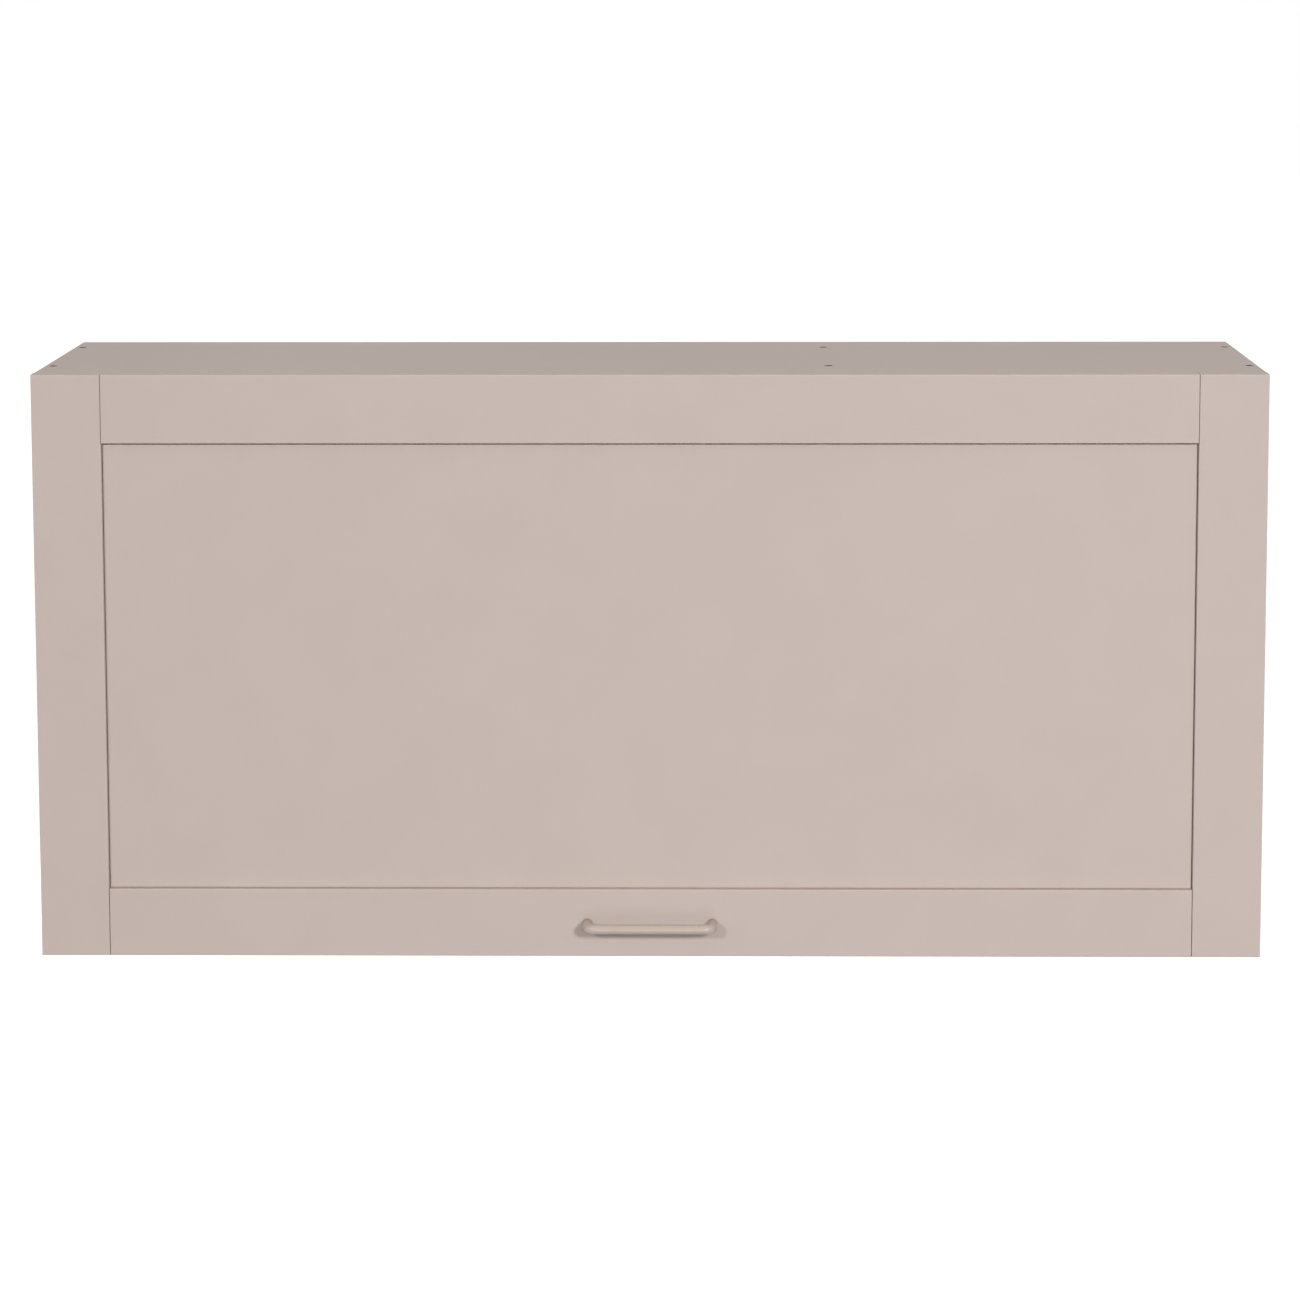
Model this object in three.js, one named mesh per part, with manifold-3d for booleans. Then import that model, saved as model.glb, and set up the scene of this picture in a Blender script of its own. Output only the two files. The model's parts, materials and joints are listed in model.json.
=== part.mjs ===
// A wall cabinet with a lift-up flap. A face frame stands on a carcass of boards. Under its
// top rail a flap turns up on two pivot pins, and a spring stay at each end holds it open.
//
// Millimetres. X runs to the right, Y from the room (negative) to the wall (0), Z up. The
// pieces are laid out from the cabinet's underside, and the whole is then lowered so that the
// origin is the middle of the wall rail's back face, on the line drawn on the wall to hang it.

import * as THREE from "three";
import { mergeVertices } from "three/addons/utils/BufferGeometryUtils.js";
import Module from "manifold-3d";

const wasm = await Module();
wasm.setup();

// ---------------------------------------------------------------- driving dimensions

// The whole cabinet
const width = 1250;
const height = 600;
const depth = 350; // from the wall to the face of the frame

// Face frame
const frameThickness = 25;
const stileWidth = 70;
const topRailHeight = 70;
const edgeEase = 1; // rounding of the boards' edges

// Carcass
const board = 18;
const wideBay = 782; // clear width to the left of the divider
const backPanelThickness = 6;
const backInset = 18; // from the wall to the back panel
const grooveDepth = 8;

// Flap: a panel with a thicker rail under it, flush with the frame
const flapGap = 1.5; // above the flap
const flapSideGap = 0.5; // at each end of the flap
const panelThickness = 18;
const flapRailHeight = 70;
const tongueThickness = 6;
const tongueDepth = 8;

// Pivot pins, in the stiles and the flap's ends
const pinRadius = 4;
const pinInStile = 24;
const pinInFlap = 24;
const bushWall = 2.4;
const bushEnd = 2; // of the bush, past the pin's end
const sweepClearance = 0.4; // between the top rail and the flap's edge as it swings past

// Spring stay: hinge, bracket pin, elbow and arm pivot are the corners of a parallelogram
const bracketDrop = 98; // hinge to bracket pin, down the flap
const bracketStand = 12; // bracket pin behind the flap's back
const armPivotBack = 80; // hinge to arm pivot, towards the wall
const armPivotDrop = 80; // hinge to arm pivot, downwards
const armThickness = 3;
const armWideEnd = 13; // radius at the arm's pivot
const armNarrowEnd = 9; // radius at the elbow
const stripEase = 0.5; // rounding of the blanked strip's edges
const linkThickness = 3;
const linkEnd = 8.5;
const rivetRadius = 3;
const rivetHeadRadius = 5.5;
const rivetHead = 1.3;
const pivotClearance = 0.4; // in the strips' holes, round the rivet and the bracket's pin
const shaftRadius = 7;
const shaftLength = 12; // arm shaft inside the housing
const shaftClearance = 0.6;
const housingThickness = 16;
const housingFront = 32; // housing's edges, measured from the arm pivot
const housingBack = 118;
const housingBelow = 38;
const housingAbove = 72;
const housingCorner = 10; // rounding of its back corners
const housingTopCorner = 24; // and of its front corner at the top
const housingEase = 1.5;
const coverThickness = 2.5;
const coverMargin = 4;
const coverEase = 1;
const barrelLength = 84; // the rib on the cover over the spring
const barrelRadius = 12;
const barrelRise = 3;
const barrelBackMargin = 12;
const barrelTopMargin = 10;
const tensionHoleRadius = 4;
const tensionHoleDrop = 34; // below the barrel's middle
const tensionHoleFloor = 0.4;
const blockMargin = 10; // packing block round the housing

// Flap bracket
const bracketPlate = 3;
const bracketWidth = 30;
const bracketHeight = 64;
const bracketCorner = 6;
const earThickness = 2.5;
const earRadius = 9;
const earFoot = 24; // half its height where it leaves the plate
const earShoulder = 0.9; // radians, where its round end starts

// Handle: a bent round bar
const handleCentres = 128;
const handleRadius = 5;
const handleStand = 27; // from the rail's face to the middle of the bar
const handleBend = 7;
const handleSteps = 84;
const handleScrewRadius = 2;
const handleScrewReach = 12; // thread in the foot
const panHeadRadius = 4;
const panHead = 2.4;
const panHeadEase = 1;

// Carcass screws
const frontScrewRow = 90; // from the frame's face
const backScrewRow = 62; // from the wall
const screwLength = 50;
const screwRadius = 2;
const screwHeadRadius = 4;
const screwHead = 2.6;
const screwTip = 6;

// Shelves and their pins
const shelfThickness = 18;
const shelfSideGap = 1;
const shelfBackGap = 2;
const shelfDrop = 28; // shelf below the stay's lowest reach
const pinHolePitch = 32;
const pinHoleCount = 5; // in each row
const pinHoleMargin = 40; // rows from the shelf's front and back edges
const shelfPinRadius = 2.5;
const pinWeb = 2; // board left between holes bored from both faces
const shelfPinTongue = 9;
const shelfPinThickness = 2.4;

// Stops
const bumperRadius = 5;
const bumperHeight = 1.7;
const bumperSpread = 60; // in from the flap's ends
const bumperSteps = 4; // rings of its dome
const swingRoom = 12; // between the swinging flap and the divider

// Hanging hardware
const railDrop = 70; // from the cabinet's top to the middle of the wall rail
const railSheet = 2;
const railFlangeHeight = 20;
const railLipHeight = 7;
const railStandOff = 5; // lip from the wall
const railBend = 0.8; // lower folds on the room's side, so the sheet keeps its thickness
const railEndGap = 12;
const railSlotLength = 24;
const railSlotWidth = 7;
const railSlots = [-450, -150, 150, 450];
const hangerWidth = 16;
const hangerDepth = 34;
const hangerHeight = 62;
const hangerDrop = 6; // below the top board
const hangerCorner = 4;
const hangerEase = 1;
const adjusterRadius = 4;
const adjusterDepth = 3;
const adjusterInset = 16; // from the hanger's top and bottom
const hookWidth = 9;
const hookThickness = 4;
const hookFinger = 2.8;
const hookGrip = 6; // how far the finger reaches down behind the lip
const hookRoot = 6; // of the hook, inside the hanger
const hookWeb = 6; // how far its thick part reaches down in front of the lip
const hookSlope = 3; // by which the thick part's front edge leans to the room
const hookFrontRoom = 1; // in front of the lip
const hookBackRoom = 0.7; // behind the lip
const hookCorner = 2;
const windowSideRoom = 3; // round the hook in the back panel
const windowRoomBelow = 4;
const windowRoomAbove = 6;

// Clearances
const fit = 0.2; // all round a piece held in a hole or groove
const running = 0.3; // beside a piece that turns

// Modelling
const past = 1; // how far a cut runs on past the face it opens in
const sink = 1; // how far a form that is joined on runs into its piece
const roundSides = 12;
const pivotSides = 16;
const shelfPinSides = 8;
const bezierQuarter = 0.5523; // pull of a Bezier quarter round, as a share of its radius

// ---------------------------------------------------------------- sizes worked out from them

const faceY = -depth;
const frameBackY = faceY + frameThickness;
const innerHalf = width / 2 - board; // to the inner face of a side
const openingHalf = width / 2 - stileWidth; // to the inner edge of a stile
const topInner = height - board;
const backPanelFront = -(backInset + backPanelThickness);

const flapHalf = openingHalf - flapSideGap;
const flapTop = height - topRailHeight - flapGap;
const flapHalfThickness = panelThickness / 2;

// The pivot lies so far down the flap that its eased top edge passes just under the top rail.
const sweepGap = flapGap - sweepClearance;
const sweepEdge = flapHalfThickness - edgeEase;
const pivotDrop = (sweepEdge ** 2 - sweepGap ** 2) / (2 * sweepGap);
const hingeY = frameBackY - flapHalfThickness;
const hingeZ = flapTop - pivotDrop;
const flapReach = Math.hypot(flapHalfThickness, pivotDrop);

const dividerFront = hingeY + flapReach + swingRoom;
const dividerX = -innerHalf + wideBay + board / 2;

const armPivot = [armPivotBack, -armPivotDrop]; // Y and Z from the hinge
const bracketPin = [flapHalfThickness + bracketStand, -bracketDrop];
const armLength = Math.hypot(...bracketPin);
const linkLength = Math.hypot(...armPivot);
const coverFace = openingHalf - housingThickness - coverThickness;
const armOuter = coverFace - rivetHead - 2 * running;
const armInner = armOuter - armThickness;
const linkOuter = armInner - 2 * running;
const linkInner = linkOuter - linkThickness;
const earOuter = linkInner - 2 * running;

const stayLowest = hingeZ + armPivot[1] - armLength - armNarrowEnd;
const shelfTop = stayLowest - shelfDrop;
const shelfZ = shelfTop - shelfThickness;
const shelfRows = [dividerFront + pinHoleMargin, backPanelFront - shelfBackGap - pinHoleMargin];
const pinDepth = (board - pinWeb) / 2;

const bumperRoom = bumperHeight + running;
const railZ = height - railDrop;
const lipFoot = railZ + railFlangeHeight / 2 + railStandOff;
const lipTop = lipFoot + railLipHeight;

// ---------------------------------------------------------------- materials

const finish = (color, roughness, metalness) =>
  new THREE.MeshStandardMaterial({ color, roughness, metalness });
const paint = finish(0xc9bbb0, 0.55, 0);
const handlePaint = finish(0xc9b7ab, 0.3, 0);
const darkSteel = finish(0x4a413c, 0.5, 0.8);
const zinc = finish(0xb9bcc0, 0.35, 0.9);
const greyPlastic = finish(0x8b8d8f, 0.5, 0);
const nylon = finish(0xe8e6df, 0.5, 0);
const clearRubber = finish(0xd8dad9, 0.4, 0);

// ---------------------------------------------------------------- solids and meshes

// A closed geometry as a solid that can be joined and cut.
function solidOf(geometry) {
  const bare = new THREE.BufferGeometry();
  bare.setAttribute("position", geometry.getAttribute("position"));
  bare.setIndex(geometry.index);
  const merged = mergeVertices(bare, 1e-4);
  const index = merged.index.array;
  const triVerts = [];
  for (let i = 0; i < index.length; i += 3) {
    const [a, b, c] = index.subarray(i, i + 3);
    if (a !== b && b !== c && c !== a) triVerts.push(a, b, c);
  }
  return new wasm.Manifold(
    new wasm.Mesh({
      numProp: 3,
      vertProperties: merged.getAttribute("position").array,
      triVerts: Uint32Array.from(triVerts),
    }),
  );
}

function geometryOf(solid) {
  const mesh = solid.getMesh();
  const geometry = new THREE.BufferGeometry();
  geometry.setAttribute("position", new THREE.BufferAttribute(mesh.vertProperties, 3));
  geometry.setIndex(new THREE.BufferAttribute(mesh.triVerts, 1));
  const faceted = geometry.toNonIndexed();
  faceted.computeVertexNormals();
  return faceted;
}

// Puts a named piece at a place in its group. What joins and cuts it is given in the group.
function addPiece(group, name, material, at, geometry, { joined = [], cut = [], turn = 0 } = {}) {
  const toPiece = (tool) => solidOf(tool.clone().translate(-at[0], -at[1], -at[2]));
  let solid = solidOf(geometry);
  for (const tool of joined) solid = solid.add(toPiece(tool));
  for (const tool of cut) solid = solid.subtract(toPiece(tool));
  const mesh = new THREE.Mesh(geometryOf(solid), material);
  mesh.name = name;
  mesh.position.set(...at);
  mesh.rotation.x = turn;
  group.add(mesh);
}

function addGroup(parent, x, y, z) {
  const group = new THREE.Group();
  group.position.set(x, y, z);
  parent.add(group);
  return group;
}

// ---------------------------------------------------------------- forms

// An outline through points, with a radius at each corner (0 where the corner is sharp).
function outline(points) {
  const shape = new THREE.Shape();
  const count = points.length;
  points.forEach(([x, y, radius = 0], i) => {
    const here = new THREE.Vector2(x, y);
    const before = new THREE.Vector2(...points[(i + count - 1) % count]).sub(here).normalize();
    const after = new THREE.Vector2(...points[(i + 1) % count]).sub(here).normalize();
    const start = here.clone().addScaledVector(before, radius);
    const end = here.clone().addScaledVector(after, radius);
    if (i === 0) shape.moveTo(start.x, start.y);
    else shape.lineTo(start.x, start.y);
    if (radius > 0) shape.quadraticCurveTo(x, y, end.x, end.y);
  });
  return shape;
}

function rectangle(wide, high, radius = 0) {
  const x = wide / 2;
  const y = high / 2;
  return outline([[-x, -y, radius], [x, -y, radius], [x, y, radius], [-x, y, radius]]);
}

// A flat lever from a pivot at 0, 0 down to a pivot at 0, -length.
function lever(length, topRadius, endRadius) {
  const tangent = Math.asin((endRadius - topRadius) / length);
  const shape = new THREE.Shape();
  shape.absarc(0, 0, topRadius, tangent, Math.PI - tangent);
  shape.absarc(0, -length, endRadius, Math.PI - tangent, 2 * Math.PI + tangent);
  return shape;
}

function roundHole(x, y, radius) {
  return new THREE.Path().absarc(x, y, radius, 0, 2 * Math.PI);
}

// An outline in the XY plane made `thickness` thick, with the edges of both faces rounded.
function plate(shape, thickness, ease = 0, curveSegments = 5) {
  return new THREE.ExtrudeGeometry(shape, {
    depth: thickness - 2 * ease,
    bevelEnabled: ease > 0,
    bevelThickness: ease,
    bevelSize: ease,
    bevelOffset: -ease,
    bevelSegments: 2,
    curveSegments,
  }).translate(0, 0, ease);
}

// The outline's x and y become X and Z, and the thickness runs towards the room.
const facingFront = (geometry) => geometry.rotateX(Math.PI / 2);

// The outline's x and y become Y and Z, and the thickness runs along X.
const alongX = new THREE.Matrix4().makeBasis(
  new THREE.Vector3(0, 1, 0),
  new THREE.Vector3(0, 0, 1),
  new THREE.Vector3(1, 0, 0),
);
const facingSide = (geometry) => geometry.applyMatrix4(alongX);

// A box between two corners.
function boxBetween([x0, y0, z0], [x1, y1, z1]) {
  const box = new THREE.BoxGeometry(x1 - x0, y1 - y0, z1 - z0);
  return box.translate((x0 + x1) / 2, (y0 + y1) / 2, (z0 + z1) / 2);
}

// A turned solid about X, from [along, radius] pairs in order of growing `along`.
function turnedAlongX(profile, segments = roundSides) {
  const points = profile.map(([along, radius]) => new THREE.Vector2(radius, along));
  return new THREE.LatheGeometry(points, segments).rotateZ(-Math.PI / 2);
}

function rodAlongX(x0, x1, y, z, radius, segments = roundSides) {
  return turnedAlongX([[x0, 0], [x0, radius], [x1, radius], [x1, 0]], segments).translate(0, y, z);
}

function rodAlongY(y0, y1, radius) {
  return rodAlongX(y0, y1, 0, 0, radius).rotateZ(Math.PI / 2);
}

// ---------------------------------------------------------------- carcass screws

// A countersunk screw that points up from z = 0, where its head lies flush with the board. With
// clearance it is the hole for it, open below the head.
function screwForm(clearance = 0) {
  const radius = screwRadius + clearance;
  const headRadius = screwHeadRadius + clearance;
  const mouth = clearance > 0 ? -past : 0;
  const profile = [
    [0, mouth],
    [headRadius, mouth],
    [headRadius, clearance],
    [radius, screwHead + clearance],
    [radius, screwLength - screwTip + clearance],
    [0, screwLength + clearance],
  ];
  if (clearance === 0) profile.splice(2, 1);
  const points = profile.map(([r, z]) => new THREE.Vector2(r, z));
  return new THREE.LatheGeometry(points, roundSides).rotateX(Math.PI / 2);
}

const screwColumns = { left: -(width - board) / 2, divider: dividerX, right: (width - board) / 2 };
const screwRows = { front: faceY + frontScrewRow, back: -backScrewRow };
const screws = [];
for (const [column, x] of Object.entries(screwColumns)) {
  for (const [row, y] of Object.entries(screwRows)) {
    screws.push({ name: `top_screw_${column}_${row}`, x, y, z: height, turn: Math.PI });
    screws.push({ name: `bottom_screw_${column}_${row}`, x, y, z: 0, turn: 0 });
  }
}
const screwHoles = screws.map(({ x, y, z, turn }) =>
  screwForm(fit).rotateX(turn).translate(x, y, z),
);

// ---------------------------------------------------------------- carcass

// Pin holes for the shelves, two rows in each face that carries one.
const pinFaces = {
  wide_left: { x: -innerHalf, into: -1 },
  wide_right: { x: dividerX - board / 2, into: 1 },
  narrow_left: { x: dividerX + board / 2, into: -1 },
  narrow_right: { x: innerHalf, into: 1 },
};
const pinZ = shelfZ - shelfPinThickness / 2;
const pinHoles = [];
for (const { x, into } of Object.values(pinFaces)) {
  const ends = [x - into * past, x + into * (pinDepth + fit)].sort((a, b) => a - b);
  for (const y of shelfRows) {
    for (let i = 0; i < pinHoleCount; i += 1) {
      const z = pinZ + (i - (pinHoleCount - 1) / 2) * pinHolePitch;
      pinHoles.push(rodAlongX(...ends, y, z, shelfPinRadius + fit, shelfPinSides));
    }
  }
}

// The groove that the back panel stands in, cut in all four outer boards.
const grooveHalf = innerHalf + grooveDepth;
const backGroove = boxBetween(
  [-grooveHalf, backPanelFront - fit, board - grooveDepth],
  [grooveHalf, -backInset + fit, topInner + grooveDepth],
);

function makeCarcass(cabinet) {
  const carcassDepth = depth - frameThickness;
  const sideHeight = height - 2 * board;
  const sideForm = () => facingSide(plate(rectangle(carcassDepth, sideHeight), board, edgeEase));
  const sideCuts = [...screwHoles, ...pinHoles, backGroove];
  const sideY = -carcassDepth / 2;
  const sideZ = height / 2;
  addPiece(cabinet, "side_left", paint, [-width / 2, sideY, sideZ], sideForm(), { cut: sideCuts });
  addPiece(cabinet, "side_right", paint, [innerHalf, sideY, sideZ], sideForm(), { cut: sideCuts });

  const boardCuts = [...screwHoles, backGroove];
  const top = plate(rectangle(width, carcassDepth), board, edgeEase);
  addPiece(cabinet, "top_board", paint, [0, sideY, topInner], top, { cut: boardCuts });

  // The bottom board stops short of the flap's back by the height of the bumpers on its edge.
  const bottomDepth = carcassDepth - bumperRoom;
  const bottom = plate(rectangle(width, bottomDepth), board, edgeEase);
  addPiece(cabinet, "bottom_board", paint, [0, -bottomDepth / 2, 0], bottom, { cut: boardCuts });

  const dividerBack = backPanelFront - fit;
  const divider = facingSide(
    plate(rectangle(dividerBack - dividerFront, sideHeight), board, edgeEase),
  );
  const dividerAt = [dividerX - board / 2, (dividerFront + dividerBack) / 2, sideZ];
  const dividerCuts = [...screwHoles, ...pinHoles];
  addPiece(cabinet, "divider", paint, dividerAt, divider, { cut: dividerCuts });

  const panelWidth = 2 * (grooveHalf - fit);
  const panelHeight = topInner - board + 2 * (grooveDepth - fit);
  const panel = facingFront(plate(rectangle(panelWidth, panelHeight), backPanelThickness));
  const windows = [-1, 1].map((side) => {
    const x = side * (innerHalf - hangerWidth / 2);
    const reach = hookWidth / 2 + windowSideRoom;
    return boxBetween(
      [x - reach, backPanelFront - past, lipTop - hookGrip - windowRoomBelow],
      [x + reach, -backInset + past, lipTop + hookThickness + windowRoomAbove],
    );
  });
  addPiece(cabinet, "back_panel", paint, [0, -backInset, height / 2], panel, { cut: windows });

  for (const { name, x, y, z, turn } of screws) {
    addPiece(cabinet, name, darkSteel, [x, y, z], screwForm(), { turn });
  }
}

// ---------------------------------------------------------------- face frame

function makeFaceFrame(cabinet) {
  for (const [side, sign] of [["left", -1], ["right", 1]]) {
    const stile = facingFront(plate(rectangle(stileWidth, height), frameThickness, edgeEase));
    const bore = [sign * (openingHalf - past), sign * (openingHalf + pinInStile + fit)];
    bore.sort((a, b) => a - b);
    const pinHole = rodAlongX(...bore, hingeY, hingeZ, pinRadius + fit, pivotSides);
    const at = [sign * (openingHalf + stileWidth / 2), frameBackY, height / 2];
    addPiece(cabinet, `stile_${side}`, paint, at, stile, { cut: [pinHole] });

    // The pivot pin stands out of the stile, across the gap and into the flap's bush.
    const ends = [sign * (flapHalf - pinInFlap), sign * (openingHalf + pinInStile)];
    ends.sort((a, b) => a - b);
    const pin = rodAlongX(...ends, 0, 0, pinRadius, pivotSides);
    addPiece(cabinet, `pivot_pin_${side}`, zinc, [0, hingeY, hingeZ], pin);
  }
  const rail = facingFront(
    plate(rectangle(2 * openingHalf, topRailHeight), frameThickness, edgeEase),
  );
  addPiece(cabinet, "top_rail", paint, [0, frameBackY, height - topRailHeight / 2], rail);
}

// ---------------------------------------------------------------- shelves

function makeShelves(cabinet) {
  const shelfBack = backPanelFront - shelfBackGap;
  const bays = {
    wide: [pinFaces.wide_left.x, pinFaces.wide_right.x],
    narrow: [pinFaces.narrow_left.x, pinFaces.narrow_right.x],
  };
  for (const [bay, [x0, x1]] of Object.entries(bays)) {
    const outlineOfShelf = rectangle(x1 - x0 - 2 * shelfSideGap, shelfBack - dividerFront);
    const at = [(x0 + x1) / 2, (dividerFront + shelfBack) / 2, shelfZ];
    addPiece(cabinet, `shelf_${bay}`, paint, at, plate(outlineOfShelf, shelfThickness, edgeEase));
  }

  // A pin is a round shank in the board and a flat tongue under the shelf, with a rib below.
  for (const [face, { x, into }] of Object.entries(pinFaces)) {
    const shank = [x - into * shelfPinTongue, x + into * pinDepth].sort((a, b) => a - b);
    shelfRows.forEach((y, row) => {
      const shaft = rodAlongX(...shank, 0, 0, shelfPinRadius, shelfPinSides).translate(-x, 0, 0);
      const half = shelfPinTongue / 2;
      const [near, far] = [x, x - into * shelfPinTongue].sort((a, b) => a - b);
      const tongue = boxBetween([near, y - half, shelfZ - shelfPinThickness], [far, y + half, shelfZ]);
      const underShelf = boxBetween(
        [into > 0 ? near - past : near, y - half, shelfZ],
        [into > 0 ? far : far + past, y + half, shelfZ + half],
      );
      const name = `shelf_pin_${face}_${["front", "back"][row]}`;
      const at = [x, y, pinZ];
      addPiece(cabinet, name, zinc, at, shaft, { joined: [tongue], cut: [underShelf] });
    });
  }
}

// ---------------------------------------------------------------- spring stays

const towards = ([y, z]) => Math.atan2(y, -z); // turn about X that points -Z that way

// The stay on the right. The group it goes into is mirrored for the left one.
function makeStay(cabinet, side, sign) {
  const fixed = addGroup(cabinet, 0, hingeY + armPivot[0], hingeZ + armPivot[1]);
  fixed.scale.x = sign;

  const housingOutline = (inset) => {
    const [y0, y1] = [inset - housingFront, housingBack - inset];
    const [z0, z1] = [inset - housingBelow, housingAbove - inset];
    return outline([
      [y0, z0, housingFront - inset],
      [y1, z0, housingCorner],
      [y1, z1, housingCorner],
      [y0, z1, housingTopCorner],
    ]);
  };

  // Packing block from the side board to the edge of the stile
  const blockFront = frameBackY - fixed.position.y;
  const blockBack = housingBack + blockMargin;
  const blockHeight = housingAbove + housingBelow + 2 * blockMargin;
  const block = facingSide(
    plate(rectangle(blockBack - blockFront, blockHeight), stileWidth - board, edgeEase),
  );
  const blockZ = (housingAbove - housingBelow) / 2;
  const blockAt = [openingHalf, (blockFront + blockBack) / 2, blockZ];
  addPiece(fixed, `packing_block_${side}`, paint, blockAt, block);

  const housing = facingSide(plate(housingOutline(0), housingThickness, housingEase));
  const housingX = openingHalf - housingThickness;
  const shaftHole = rodAlongX(
    coverFace - past,
    armOuter + shaftLength + running,
    0,
    0,
    shaftRadius + shaftClearance,
    pivotSides,
  );
  addPiece(fixed, `stay_housing_${side}`, zinc, [housingX, 0, 0], housing, { cut: [shaftHole] });

  // Cover with a rib over the spring and a hole for the tension screw
  const cover = facingSide(plate(housingOutline(coverMargin), coverThickness, coverEase));
  const barrelY = housingBack - coverMargin - barrelBackMargin - barrelLength / 2;
  const barrelZ = housingAbove - coverMargin - barrelTopMargin - barrelRadius;
  const rib = facingSide(
    plate(rectangle(barrelLength, 2 * barrelRadius, barrelRadius), barrelRise + sink, coverEase),
  ).translate(coverFace - barrelRise, barrelY, barrelZ);
  const tensionHole = rodAlongX(
    coverFace - past,
    housingX - tensionHoleFloor,
    barrelY,
    barrelZ - tensionHoleDrop,
    tensionHoleRadius,
  );
  addPiece(fixed, `stay_cover_${side}`, greyPlastic, [coverFace, 0, 0], cover, {
    joined: [rib],
    cut: [shaftHole, tensionHole],
  });

  // Arm, turned down towards the elbow, with its shaft in the housing
  const armOutline = lever(armLength, armWideEnd, armNarrowEnd);
  armOutline.holes.push(roundHole(0, -armLength, rivetRadius + pivotClearance));
  const arm = facingSide(plate(armOutline, armThickness, stripEase));
  const shaft = rodAlongX(
    armOuter - sink,
    armOuter + shaftLength,
    0,
    0,
    shaftRadius,
    pivotSides,
  );
  addPiece(fixed, `stay_arm_${side}`, zinc, [armInner, 0, 0], arm, {
    joined: [shaft],
    turn: towards(bracketPin),
  });

  // Link, hung on the elbow's rivet and reaching forward and up to the bracket pin
  const elbow = addGroup(fixed, 0, ...bracketPin);
  const rivet = turnedAlongX([
    [linkInner - running - rivetHead, 0],
    [linkInner - running - rivetHead, rivetHeadRadius],
    [linkInner - running, rivetHeadRadius],
    [linkInner - running, rivetRadius],
    [armOuter + running, rivetRadius],
    [armOuter + running, rivetHeadRadius],
    [armOuter + running + rivetHead, rivetHeadRadius],
    [armOuter + running + rivetHead, 0],
  ]);
  addPiece(elbow, `stay_rivet_${side}`, zinc, [0, 0, 0], rivet);

  const linkOutline = lever(linkLength, linkEnd, linkEnd);
  linkOutline.holes.push(roundHole(0, 0, rivetRadius + pivotClearance));
  linkOutline.holes.push(roundHole(0, -linkLength, rivetRadius + pivotClearance));
  const link = facingSide(plate(linkOutline, linkThickness, stripEase));
  addPiece(elbow, `stay_link_${side}`, zinc, [linkInner, 0, 0], link, {
    turn: towards(armPivot.map((value) => -value)),
  });
}

// ---------------------------------------------------------------- flap

const flapBack = flapHalfThickness; // in the flap's own group, whose origin is the hinge
const flapRailTop = flapRailHeight - hingeZ;
const handleZ = flapRailTop - flapRailHeight / 2;
const flapFace = faceY - hingeY;

function makeFlapBoards(flap) {
  const panelHeight = flapTop - flapRailHeight;
  const panel = facingFront(
    plate(rectangle(2 * flapHalf, panelHeight), panelThickness, edgeEase),
  );
  const tongue = boxBetween(
    [-flapHalf, -tongueThickness / 2, flapRailTop - tongueDepth],
    [flapHalf, tongueThickness / 2, flapRailTop + sink],
  );
  const bushHoles = [-1, 1].map((sign) => {
    const ends = [sign * (flapHalf + past), sign * (flapHalf - pinInFlap - bushEnd - fit)];
    ends.sort((a, b) => a - b);
    return rodAlongX(...ends, 0, 0, pinRadius + 2 * fit + bushWall, pivotSides);
  });
  addPiece(flap, "flap_panel", paint, [0, flapBack, flapRailTop + panelHeight / 2], panel, {
    joined: [tongue],
    cut: bushHoles,
  });

  const rail = facingFront(
    plate(rectangle(2 * flapHalf, flapRailHeight), frameThickness, edgeEase),
  );
  const groove = boxBetween(
    [-flapHalf - past, -tongueThickness / 2 - fit, flapRailTop - tongueDepth - fit],
    [flapHalf + past, tongueThickness / 2 + fit, flapRailTop + past],
  );
  const screwHolesInRail = [-1, 1].map((sign) =>
    rodAlongY(flapFace - past, flapBack + past, handleScrewRadius + fit).translate(
      (sign * handleCentres) / 2,
      0,
      handleZ,
    ),
  );
  addPiece(flap, "flap_rail", paint, [0, flapBack, handleZ], rail, {
    cut: [groove, ...screwHolesInRail],
  });
}

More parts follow.
